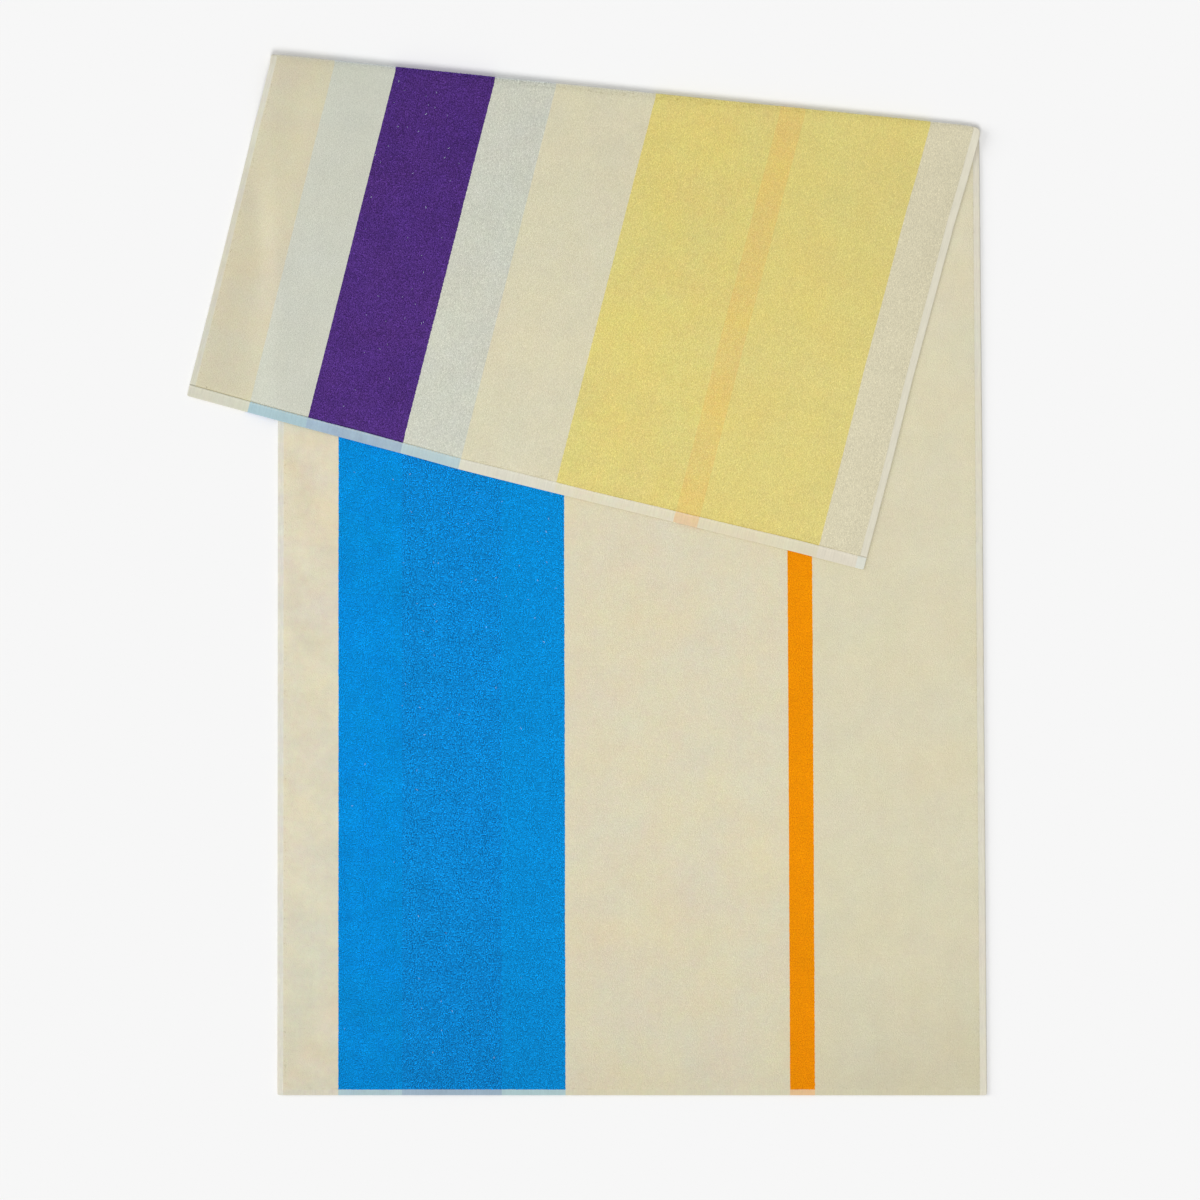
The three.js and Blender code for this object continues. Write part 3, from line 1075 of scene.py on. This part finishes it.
def cloth_material(side, stripes):
    material = new_material(side + "_cotton")
    tree = material.node_tree
    split = add(tree, "SeparateXYZ", {"Vector": add(tree, "UVMap", uv_map=FLAT_MAP)["UV"]})
    here = {"Across": split["X"], "Along": split["Y"]}
    loops = add(tree, "Group", node_tree=terry, inputs=here)
    flat = add(tree, "Group", node_tree=weave, inputs=here)
    pile, drifts = cotton_pile(tree, side, stripes, here, loops)

    # where the flat hems end
    ragged = loops["Shade"] * RAGGED
    from_left = here["Across"] + ragged
    from_right = CLOTH_WIDTH - from_left
    past_left_hem, past_right_hem = (
        past(distance, SIDE_HEMS[edge]["width_mm"] * MM, SIDE_HEM_SOFTNESS)
        for edge, distance in {"left": from_left, "right": from_right}.items()
    )
    past_side_hem = past_left_hem.math("MINIMUM", past_right_hem)
    wandering_along = here["Along"] + noise(here["Across"], scale=16, detail=2) * HEM_WANDER
    past_end_hem = past(wandering_along + ragged, SIDES[side]["hem_edge"], END_HEM_SOFTNESS)
    if side == "reverse":
        past_end_hem = 1 - past_end_hem

    # the colour of the hems
    share_of_warp = here["Across"] / CLOTH_WIDTH
    on_the_right = share_of_warp.math("GREATER_THAN", 0.5)
    side_hems = mixed(on_the_right, *(dyed(SIDE_HEMS[edge][side]) for edge in ("left", "right")))
    hem = mixed(past_side_hem, side_hems, stripe_ramp(share_of_warp, stripes, "hem"))
    hem = brightened(hem, flat["Shade"], HEM_SPECKLE)
    # Painted highlight on the ridge along the seam
    sewn_from, sewn_to = SIDES[side]["sewn"]
    past_seam_start = here["Along"].math("GREATER_THAN", sewn_from)
    before_seam_end = here["Along"].math("LESS_THAN", sewn_to)
    hem = brightened(hem, past_seam_start * before_seam_end, PAINTED_SEAM_HIGHLIGHT)
    # The hem's right corner is painted paler
    if side == "reverse":
        width = HEM_CORNER["width"]
        past_corner = rising(from_right, width - HEM_CORNER["softness"], width)
        outside_corner = past_corner.math("MAXIMUM", past_end_hem)
        hem = mixed(outside_corner, dyed(HEM_CORNER["colour"]), hem)

    # pile and hems together, with the groove between them
    is_pile = past_side_hem.math("MINIMUM", past_end_hem)
    colour = mixed(is_pile, hem, pile)
    from_groove = (here["Along"] - GROOVE_PLACE).math("ABSOLUTE")
    in_groove = 1 - rising(from_groove, *GROOVE_WIDTH)
    shades = ((GROOVE_SHADE[part],) * 3 + (1,) for part in ("side hem", "pile"))
    groove_shade = mixed(past_side_hem, *shades)
    colour = brightened(colour, in_groove, groove_shade * -1.0)
    final = add(tree, "Group", node_tree=drift, inputs={"Colour": colour, **here, **drifts})

    loop_height = loops["Height"] * LOOP_RELIEF * is_pile
    weave_height = flat["Height"] * WEAVE_RELIEF * (1 - is_pile)
    relief = {"Height": loop_height + weave_height, "Strength": 1.0, "Distance": MM}
    finish_shader(material, {
        "Base Color": final["Colour"], "Normal": add(tree, "Bump", relief)["Normal"],
        "Roughness": 0.95, "Specular IOR Level": 0.04, "Sheen Weight": 0.09, "Sheen Roughness": 0.5,
    })
    return material


for side, stripes in {"face": FACE_STRIPES, "reverse": REVERSE_STRIPES}.items():
    cloth.data.materials.append(cloth_material(side, stripes))
print("Face and reverse are dyed")

# %% [markdown]
# ## Looking up places on the cloth
#
# Loops, stitches and lint are set on the finished sheet. A ray from above would only find its
# top. This helper takes places on the flat cloth, and finds the points of either side of the
# folded one. It also gives the ways that are outwards, along and across there.

# %% Places on the folded cloth
def blended(grid, row, column):
    """Values of a grid at rows and columns that may lie between its points."""
    low_row = np.minimum(row.astype(int), row_count - 2)
    low_column = np.minimum(column.astype(int), column_count - 2)
    row_part, column_part = (row - low_row)[:, None], (column - low_column)[:, None]

    def on_row(chosen):
        return grid[chosen, low_column] * (1 - column_part) + grid[chosen, low_column + 1] * column_part

    return on_row(low_row) * (1 - row_part) + on_row(low_row + 1) * row_part


def ways_on(surface, outward_sign):
    along_way = unit(np.gradient(surface, axis=0))
    across_way = unit(np.gradient(surface, axis=1))
    return {
        "point": surface,
        "along": along_way,
        "across": across_way,
        "out": unit(np.cross(across_way, along_way)) * outward_sign,
    }


SURFACES = {"face": ways_on(face_side, 1), "reverse": ways_on(reverse_side, -1)}
for grids in SURFACES.values():
    grids.update({name: grid[..., None] for name, grid in TONES.items()})


def on_cloth(side, place_across, place_along):
    """Points on one side of the folded cloth, and the ways that are along, across and out."""
    column = np.interp(place_across, column_places, np.arange(column_count))
    lengths = along[:, np.round(column).astype(int)].T
    row = np.array([
        np.interp(place, length, np.arange(row_count))
        for place, length in zip(place_along, lengths, strict=True)
    ])
    return {name: blended(grid, row, column) for name, grid in SURFACES[side].items()}


halfway = np.array([CLOTH_WIDTH / 2])
middle_of_fold = on_cloth("reverse", halfway, fold_start + fold_slope * halfway)
print("The middle of the fold is at", middle_of_fold["point"][0].round(4))

# %% [markdown]
# ## Yarn as bent rods
#
# Every bit of yarn that stands free is a thin three-sided rod along a short bent line. Curves
# with a bevel would give such rods, but wouldn't know the flat place of their foot. That lets a
# loop be dyed like the stripe that it grows from. So one helper makes all the rods of a piece as
# a single mesh. On the map for baked images each rod has a small cell of its own, with a rim
# left free.

# %% The rod maker
ROD_SIDES = 3
CELL_RIM = 0.08


def yarn_piece(name, lines, sideways, radius, places, materials, slots, tones=None):
    """One mesh of rods. lines holds each rod's points, and sideways the way across its bend."""
    rod_count, line_points = lines.shape[:2]
    rod_points = line_points * ROD_SIDES
    forwards = unit(np.gradient(lines, axis=1))
    sideways = np.broadcast_to(unit(sideways)[:, None], forwards.shape)
    upwards = np.cross(sideways, forwards)
    turns = np.arange(ROD_SIDES)[:, None] * math.tau / ROD_SIDES
    around = np.cos(turns) * upwards[:, :, None] + np.sin(turns) * sideways[:, :, None]
    points = lines[:, :, None] + around * radius[:, None, None, None]

    ring, side = np.meshgrid(np.arange(line_points - 1), np.arange(ROD_SIDES), indexing="ij")
    corner_rings = np.stack([ring, ring, ring + 1, ring + 1], axis=-1).reshape(-1, 4)
    corner_sides = np.stack([side, side + 1, side + 1, side], axis=-1).reshape(-1, 4)
    one_rod = corner_rings * ROD_SIDES + corner_sides % ROD_SIDES
    faces = (np.arange(rod_count)[:, None, None] * rod_points + one_rod).reshape(-1, 4)

    cells = math.ceil(math.sqrt(rod_count))
    cell = np.stack([np.arange(rod_count) % cells, np.arange(rod_count) // cells], axis=-1)
    in_cell = np.stack([corner_sides / ROD_SIDES, corner_rings / (line_points - 1)], axis=-1)
    in_cell = CELL_RIM + (1 - 2 * CELL_RIM) * in_cell.reshape(1, -1, 2)
    piece = new_piece(
        name, points.reshape(-1, 3), faces,
        np.repeat(places, one_rod.size, axis=0), (cell[:, None] + in_cell) / cells,
        {tone: np.repeat(values, rod_points) for tone, values in (tones or {}).items()},
        np.repeat(slots, len(one_rod)),
    )
    for material in materials:
        piece.data.materials.append(material)
    print(f"{name}: {rod_count} rods, {2 * len(faces)} triangles")
    return piece


# %% [markdown]
# ## Standing loops
#
# Where the pile ends at a hem, and all over the outside of the fold, the loops stand apart and
# can be seen one by one. Each is an arch of yarn about a millimetre high, turned and leaning its
# own way. Further in they are packed, and the material shows them well enough. The table says
# which strips of the cloth get such loops.

# %% The standing loops
LOOP_SPAN = 0.8 * MM
LOOP_SINK = 0.25
LOOP_TURN = 0.5
LOOP_LEAN = 0.3
LOOP_HEIGHTS = (0.7, 1.15)
YARN_RADIUS = 0.17 * MM
YARN_EVENNESS = (0.8, 1.2)
YARN_POINTS = 5

# Places are in millimetres: across, and along from the lower hem or from the fold. The density is
# in loops to the square millimetre.
LOOP_STRIPS = table(
    "side across start along density height",
    ("reverse", (6, 693), "fold", (0.8, 5), 0.2, 0.7),
    ("reverse", (6.3, 8), "fold", (6, 344), 0.1, 0.5),
    ("reverse", (690.8, 692.6), "fold", (6, 395), 0.1, 0.5),
    ("reverse", (6.3, 692.6), "hem", (1386, 1387.8), 0.1, 0.5),
    ("face", (6.2, 8), "hem", (7, 640), 0.1, 0.5),
    ("face", (691.8, 693.4), "hem", (7, 900), 0.1, 0.5),
    ("face", (6.2, 693.4), "hem", (6, 7.6), 0.1, 0.5),
)

chance = np.random.default_rng(11)


def scattered(strip, count, turning):
    """Chance places on a strip of the cloth, and a way along it that is turned by chance."""
    place_across = chance.uniform(*strip["across"], count) * MM
    place_along = chance.uniform(*strip["along"], count) * MM
    if strip.get("start") == "fold":
        place_along = place_along + fold_start + fold_slope * place_across
    found = on_cloth(strip["side"], place_across, place_along)
    turned = chance.normal(0, turning, (count, 1))
    forwards = unit(found["along"] * np.cos(turned) + found["across"] * np.sin(turned))
    sideways = np.cross(forwards, found["out"])
    return found, forwards, sideways, np.stack([place_across, place_along], axis=-1)


loop_rods = []
for strip in LOOP_STRIPS:
    (left, right), (start, end) = strip["across"], strip["along"]
    count = round((right - left) * (end - start) * strip["density"])
    found, forwards, sideways, places = scattered(strip, count, LOOP_TURN)
    height = strip["height"] * MM * chance.uniform(*LOOP_HEIGHTS, (count, 1))
    lean = sideways * chance.normal(0, LOOP_LEAN, (count, 1))
    lean = lean + forwards * chance.normal(0, LOOP_LEAN, (count, 1))
    arch = np.linspace(0, math.pi, YARN_POINTS)[:, None, None]
    lines = found["point"] - forwards * (np.cos(arch) * LOOP_SPAN / 2)
    lines = lines + (found["out"] + lean) * height * (np.sin(arch) - LOOP_SINK)
    slot = FACE_SLOT if strip["side"] == "face" else REVERSE_SLOT
    tones = [found[name].ravel() for name in TONES]
    loop_rods.append((lines.swapaxes(0, 1), sideways, places, np.full(count, slot), *tones))

lines, sideways, places, slots, *tones = (np.concatenate(parts) for parts in zip(*loop_rods, strict=True))
terry_loops = yarn_piece(
    "terry_loops", lines, sideways, YARN_RADIUS * chance.uniform(*YARN_EVENNESS, len(lines)),
    places, list(cloth.data.materials), slots, tones=dict(zip(TONES, tones, strict=True)),
)

# %% [markdown]
# ## Thread and lint
#
# Two more yarns need a material of their own. Sewing thread is smooth and tightly twisted, and
# its twist shows as fine slanting lines, which a wave texture gives. Lint is the pale fluff that
# any new towel carries. It is seen only on the dark stripes.

# %% Thread and lint materials
THREAD_TWIST = 0.35 * MM
TWIST_DEPTH = 0.05 * MM


def spun_material(name, light, dark, roughness):
    """A pale yarn with a slanting twist, which follows its place in the towel."""
    material = new_material(name)
    tree = material.node_tree
    slanted = {"Vector": add(tree, "TexCoord")["Object"], "Scale": 1 / THREAD_TWIST}
    slanted |= {"Distortion": 1.5, "Detail": 1.0}
    twist = add(tree, "TexWave", slanted, bands_direction="DIAGONAL")["Fac"]
    relief = {"Height": twist, "Strength": 0.5, "Distance": TWIST_DEPTH}
    finish_shader(material, {
        "Base Color": mixed(twist, dyed(dark), dyed(light)),
        "Normal": add(tree, "Bump", relief)["Normal"],
        "Roughness": roughness, "Specular IOR Level": 0.1,
    })
    return material


sewing_thread = spun_material("sewing_thread", "#e2dfd0", "#cfcab8", 0.75)
lint_fluff = spun_material("lint_fluff", "#e2ecf4", "#bdd4e8", 0.95)
print("Thread and lint are spun")

# %% [markdown]
# ## The seam of the turned-over hem
#
# The hem is sewn down 10 mm in from its edge with plain lock stitches. Each comes up, lies on
# the cloth for some 2.3 mm, and goes down again. They are set one by one along the seam, and not
# quite in line, because a plain copied row would look printed.

# %% The hem's stitches
SEAM_INSET = 10.1 * MM
SEAM_END = 4 * MM
STITCH_PITCH = 3.1 * MM
STITCH_LENGTH = 2.3 * MM
STITCH_SCATTER = {"across": 0.08 * MM, "along": 0.12 * MM}
THREAD_RADIUS = 0.17 * MM
STITCH_RISE = 0.8
STITCH_BEND = 7

stitch_across = np.arange(SEAM_END, CLOTH_WIDTH - SEAM_END, STITCH_PITCH)
stitch_count = len(stitch_across)
stitch_across = stitch_across + chance.normal(0, 1, stitch_count) * STITCH_SCATTER["across"]
stitch_along = CLOTH_LENGTH - SEAM_INSET + chance.normal(0, 1, stitch_count) * STITCH_SCATTER["along"]
found = on_cloth("reverse", stitch_across, stitch_along)
share = np.linspace(-0.5, 0.5, YARN_POINTS)[:, None, None]
rise = THREAD_RADIUS * (STITCH_RISE - STITCH_BEND * share ** 2)
lines = found["point"] + found["across"] * STITCH_LENGTH * share + found["out"] * rise
hem_stitches = yarn_piece(
    "hem_stitches", lines.swapaxes(0, 1), -found["along"], np.full(stitch_count, THREAD_RADIUS),
    np.stack([stitch_across, stitch_along], axis=-1), [sewing_thread], np.zeros(stitch_count),
)

# %% [markdown]
# ## Lint
#
# Some specks of pale fluff lie on the blue and the purple, each a fibre of 1 to 2 mm that curls
# a little. The table says where they are scattered, and how many.

# %% The lint
LINT_RADIUS = 0.13 * MM
LINT_EVENNESS = (0.7, 1.8)
LINT_LENGTH = (0.7, 2.2)
LINT_HEIGHT = 0.35 * MM
LINT_TURN = 0.7
LINT_CURL = 0.5
LINT_PATCHES = table(
    "side across along count",
    ("face", (62, 280), (20, 640), 36),
    ("face", (222, 280), (470, 600), 12),
    ("face", (124, 218), (300, 620), 16),
    ("reverse", (124, 217), (1048, 1380), 30),
    ("reverse", (124, 216), (1040, 1130), 14),
)

lint_rods = []
for patch in LINT_PATCHES:
    count = patch["count"]
    found, forwards, sideways, places = scattered(patch, count, LINT_TURN)
    length = chance.uniform(*LINT_LENGTH, (count, 1)) * MM
    curl = chance.normal(0, LINT_CURL, (count, 1))
    bend = forwards * share + sideways * curl * (share ** 2 - (share ** 2).mean())
    lines = found["point"] + length * bend + found["out"] * LINT_HEIGHT
    lint_rods.append((lines.swapaxes(0, 1), found["out"], places))

lines, sideways, places = (np.concatenate(parts) for parts in zip(*lint_rods, strict=True))
lint = yarn_piece(
    "lint", lines, sideways, LINT_RADIUS * chance.uniform(*LINT_EVENNESS, len(lines)),
    places, [lint_fluff], np.zeros(len(lines)),
)

# %% [markdown]
# ## Pieces on the towel's body
#
# All the pieces stand for the CAD solid of the towel. They ride on the one body that there is,
# and the solid itself is hidden.

# %% The pieces in the frame
yarn_pieces = [terry_loops, hem_stitches, lint]
for piece in (cloth, *yarn_pieces):
    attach(piece, "root")
    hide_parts("towel")
print(1 + len(yarn_pieces), "pieces stand for the towel")
